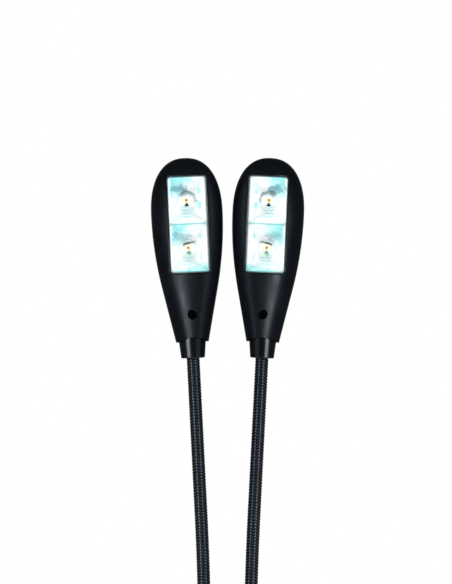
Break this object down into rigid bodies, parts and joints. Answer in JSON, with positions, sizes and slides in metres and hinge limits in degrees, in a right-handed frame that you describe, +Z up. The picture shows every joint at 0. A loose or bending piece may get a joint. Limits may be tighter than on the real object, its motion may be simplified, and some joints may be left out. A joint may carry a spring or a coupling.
{
  "type": "music stand light",
  "caption": "Clip-on light for a music stand: lamp heads with reflector windows on ribbed goosenecks above a spring clip that holds the cells and push buttons.",
  "frame": {"origin": "centre of the flat face of the clip's fixed rubber pad", "axes": "+Z up along the necks, +Y out of the fixed pad's face, towards the back; the lamp windows face -Y"},
  "size_m": [0.0592, 0.0495, 0.3524],
  "materials": {
    "satin_black_plastic": "satin moulded black with a faint blue tone",
    "gloss_black_plastic": "polished black",
    "black_steel": "black ribbed steel, semi-gloss",
    "black_rubber": "matte",
    "bright_steel": "bright plated",
    "chrome_cup": "mirror",
    "clear_lens": "clear",
    "led_resin": "clear resin",
    "white_board": "white solder resist",
    "green_board": "green solder resist",
    "cell_wrap": "plain wrap",
    "red_lead": "soft insulation"
  },
  "bodies": {
    "base": {"front_housing": "satin_black_plastic", "rear_housing": "satin_black_plastic", "left_housing_screw": "bright_steel", "right_housing_screw": "bright_steel", "cell_1": "cell_wrap", "cell_2": "cell_wrap", "cell_3": "cell_wrap", "low_link_contact": "bright_steel", "low_end_contact": "bright_steel", "high_end_contact": "bright_steel", "high_link_contact": "bright_steel", "switch_board": "green_board", "left_socket": "gloss_black_plastic", "right_socket": "gloss_black_plastic", "fixed_pad": "black_rubber", "hinge_pin": "bright_steel", "clip_spring": "bright_steel", "left_neck_0": "black_steel", "right_neck_0": "black_steel", "left_lead": "red_lead", "right_lead": "red_lead"},
    "clip_lever": {"clip_lever": "satin_black_plastic", "moving_pad": "black_rubber"},
    "battery_door": {"battery_door": "satin_black_plastic"},
    "left_button": {"left_button": "gloss_black_plastic"},
    "left_neck_1": {"left_neck_1": "black_steel"},
    "left_neck_2": {"left_neck_2": "black_steel"},
    "left_neck_3": {"left_neck_3": "black_steel"},
    "left_neck_4": {"left_neck_4": "black_steel"},
    "left_neck_5": {"left_neck_5": "black_steel"},
    "left_neck_6": {"left_neck_6": "black_steel"},
    "left_neck_7": {"left_neck_7": "black_steel"},
    "left_head": {"left_neck_8": "black_steel", "left_ferrule": "gloss_black_plastic", "left_front_shell": "satin_black_plastic", "left_rear_shell": "satin_black_plastic", "left_reflector": "chrome_cup", "left_lens": "clear_lens", "left_led_board": "white_board", "left_upper_led": "led_resin", "left_lower_led": "led_resin", "left_head_screw": "bright_steel"},
    "right_button": {"right_button": "gloss_black_plastic"},
    "right_neck_1": {"right_neck_1": "black_steel"},
    "right_neck_2": {"right_neck_2": "black_steel"},
    "right_neck_3": {"right_neck_3": "black_steel"},
    "right_neck_4": {"right_neck_4": "black_steel"},
    "right_neck_5": {"right_neck_5": "black_steel"},
    "right_neck_6": {"right_neck_6": "black_steel"},
    "right_neck_7": {"right_neck_7": "black_steel"},
    "right_head": {"right_neck_8": "black_steel", "right_ferrule": "gloss_black_plastic", "right_front_shell": "satin_black_plastic", "right_rear_shell": "satin_black_plastic", "right_reflector": "chrome_cup", "right_lens": "clear_lens", "right_led_board": "white_board", "right_upper_led": "led_resin", "right_lower_led": "led_resin", "right_head_screw": "bright_steel"}
  },
  "joints": [
    {"name": "clip_hinge", "type": "hinge", "parent": "base", "child": "clip_lever", "pos_m": [0, 0.009, 0.022], "axis": [1, 0, 0], "range_deg": [0, 28], "stiffness_Nm_per_rad": 0.3, "springref_deg": -2.86, "deforming": ["clip_spring"]},
    {"name": "battery_door_slide", "type": "slide", "parent": "base", "child": "battery_door", "axis": [0, 0, -1], "range_m": [0, 0.05]},
    {"name": "left_button_press", "type": "slide", "parent": "base", "child": "left_button", "axis": [0, 1, 0], "range_m": [0, 0.0012], "stiffness_N_per_m": 1200},
    {"name": "left_bend_1", "type": "hinge", "parent": "base", "child": "left_neck_1", "pos_m": [-0.00874, -0.0108, 0.08941], "axis": [1, 0, 0], "range_deg": [-15, 20], "deforming": ["left_lead"]},
    {"name": "left_sway_1", "type": "hinge", "parent": "left_neck_1", "child": "left_neck_2", "pos_m": [-0.00874, -0.0108, 0.11052], "axis": [0, -1, 0], "range_deg": [0, 15]},
    {"name": "left_bend_2", "type": "hinge", "parent": "left_neck_2", "child": "left_neck_3", "pos_m": [-0.00874, -0.0108, 0.13163], "axis": [1, 0, 0], "range_deg": [-15, 20]},
    {"name": "left_bend_3", "type": "hinge", "parent": "left_neck_3", "child": "left_neck_4", "pos_m": [-0.00881, -0.0108, 0.15274], "axis": [1, 0, 0], "range_deg": [-15, 20]},
    {"name": "left_sway_2", "type": "hinge", "parent": "left_neck_4", "child": "left_neck_5", "pos_m": [-0.00923, -0.0108, 0.17386], "axis": [0, -1, 0], "range_deg": [0, 15]},
    {"name": "left_bend_4", "type": "hinge", "parent": "left_neck_5", "child": "left_neck_6", "pos_m": [-0.01005, -0.0108, 0.19497], "axis": [1, 0, 0], "range_deg": [-15, 20]},
    {"name": "left_sway_3", "type": "hinge", "parent": "left_neck_6", "child": "left_neck_7", "pos_m": [-0.01111, -0.0108, 0.21608], "axis": [0, -1, 0], "range_deg": [0, 15]},
    {"name": "left_bend_5", "type": "hinge", "parent": "left_neck_7", "child": "left_head", "pos_m": [-0.01218, -0.0108, 0.23719], "axis": [1, 0, 0], "range_deg": [-15, 20]},
    {"name": "right_button_press", "type": "slide", "parent": "base", "child": "right_button", "axis": [0, 1, 0], "range_m": [0, 0.0012], "stiffness_N_per_m": 1200},
    {"name": "right_bend_1", "type": "hinge", "parent": "base", "child": "right_neck_1", "pos_m": [0.00874, -0.0108, 0.08941], "axis": [1, 0, 0], "range_deg": [-15, 20], "deforming": ["right_lead"]},
    {"name": "right_sway_1", "type": "hinge", "parent": "right_neck_1", "child": "right_neck_2", "pos_m": [0.00874, -0.0108, 0.11052], "axis": [0, 1, 0], "range_deg": [0, 15]},
    {"name": "right_bend_2", "type": "hinge", "parent": "right_neck_2", "child": "right_neck_3", "pos_m": [0.00874, -0.0108, 0.13163], "axis": [1, 0, 0], "range_deg": [-15, 20]},
    {"name": "right_bend_3", "type": "hinge", "parent": "right_neck_3", "child": "right_neck_4", "pos_m": [0.00881, -0.0108, 0.15274], "axis": [1, 0, 0], "range_deg": [-15, 20]},
    {"name": "right_sway_2", "type": "hinge", "parent": "right_neck_4", "child": "right_neck_5", "pos_m": [0.00923, -0.0108, 0.17386], "axis": [0, 1, 0], "range_deg": [0, 15]},
    {"name": "right_bend_4", "type": "hinge", "parent": "right_neck_5", "child": "right_neck_6", "pos_m": [0.01005, -0.0108, 0.19497], "axis": [1, 0, 0], "range_deg": [-15, 20]},
    {"name": "right_sway_3", "type": "hinge", "parent": "right_neck_6", "child": "right_neck_7", "pos_m": [0.01111, -0.0108, 0.21608], "axis": [0, 1, 0], "range_deg": [0, 15]},
    {"name": "right_bend_5", "type": "hinge", "parent": "right_neck_7", "child": "right_head", "pos_m": [0.01218, -0.0108, 0.23719], "axis": [1, 0, 0], "range_deg": [-15, 20]}
  ],
  "couplings": [
    {"joint": "left_bend_2", "follows": "left_bend_1", "ratio": 1},
    {"joint": "left_bend_3", "follows": "left_bend_1", "ratio": 1},
    {"joint": "left_sway_2", "follows": "left_sway_1", "ratio": 1},
    {"joint": "left_bend_4", "follows": "left_bend_1", "ratio": 1},
    {"joint": "left_sway_3", "follows": "left_sway_1", "ratio": 1},
    {"joint": "left_bend_5", "follows": "left_bend_1", "ratio": 1},
    {"joint": "right_bend_2", "follows": "right_bend_1", "ratio": 1},
    {"joint": "right_bend_3", "follows": "right_bend_1", "ratio": 1},
    {"joint": "right_sway_2", "follows": "right_sway_1", "ratio": 1},
    {"joint": "right_bend_4", "follows": "right_bend_1", "ratio": 1},
    {"joint": "right_sway_3", "follows": "right_sway_1", "ratio": 1},
    {"joint": "right_bend_5", "follows": "right_bend_1", "ratio": 1}
  ]
}
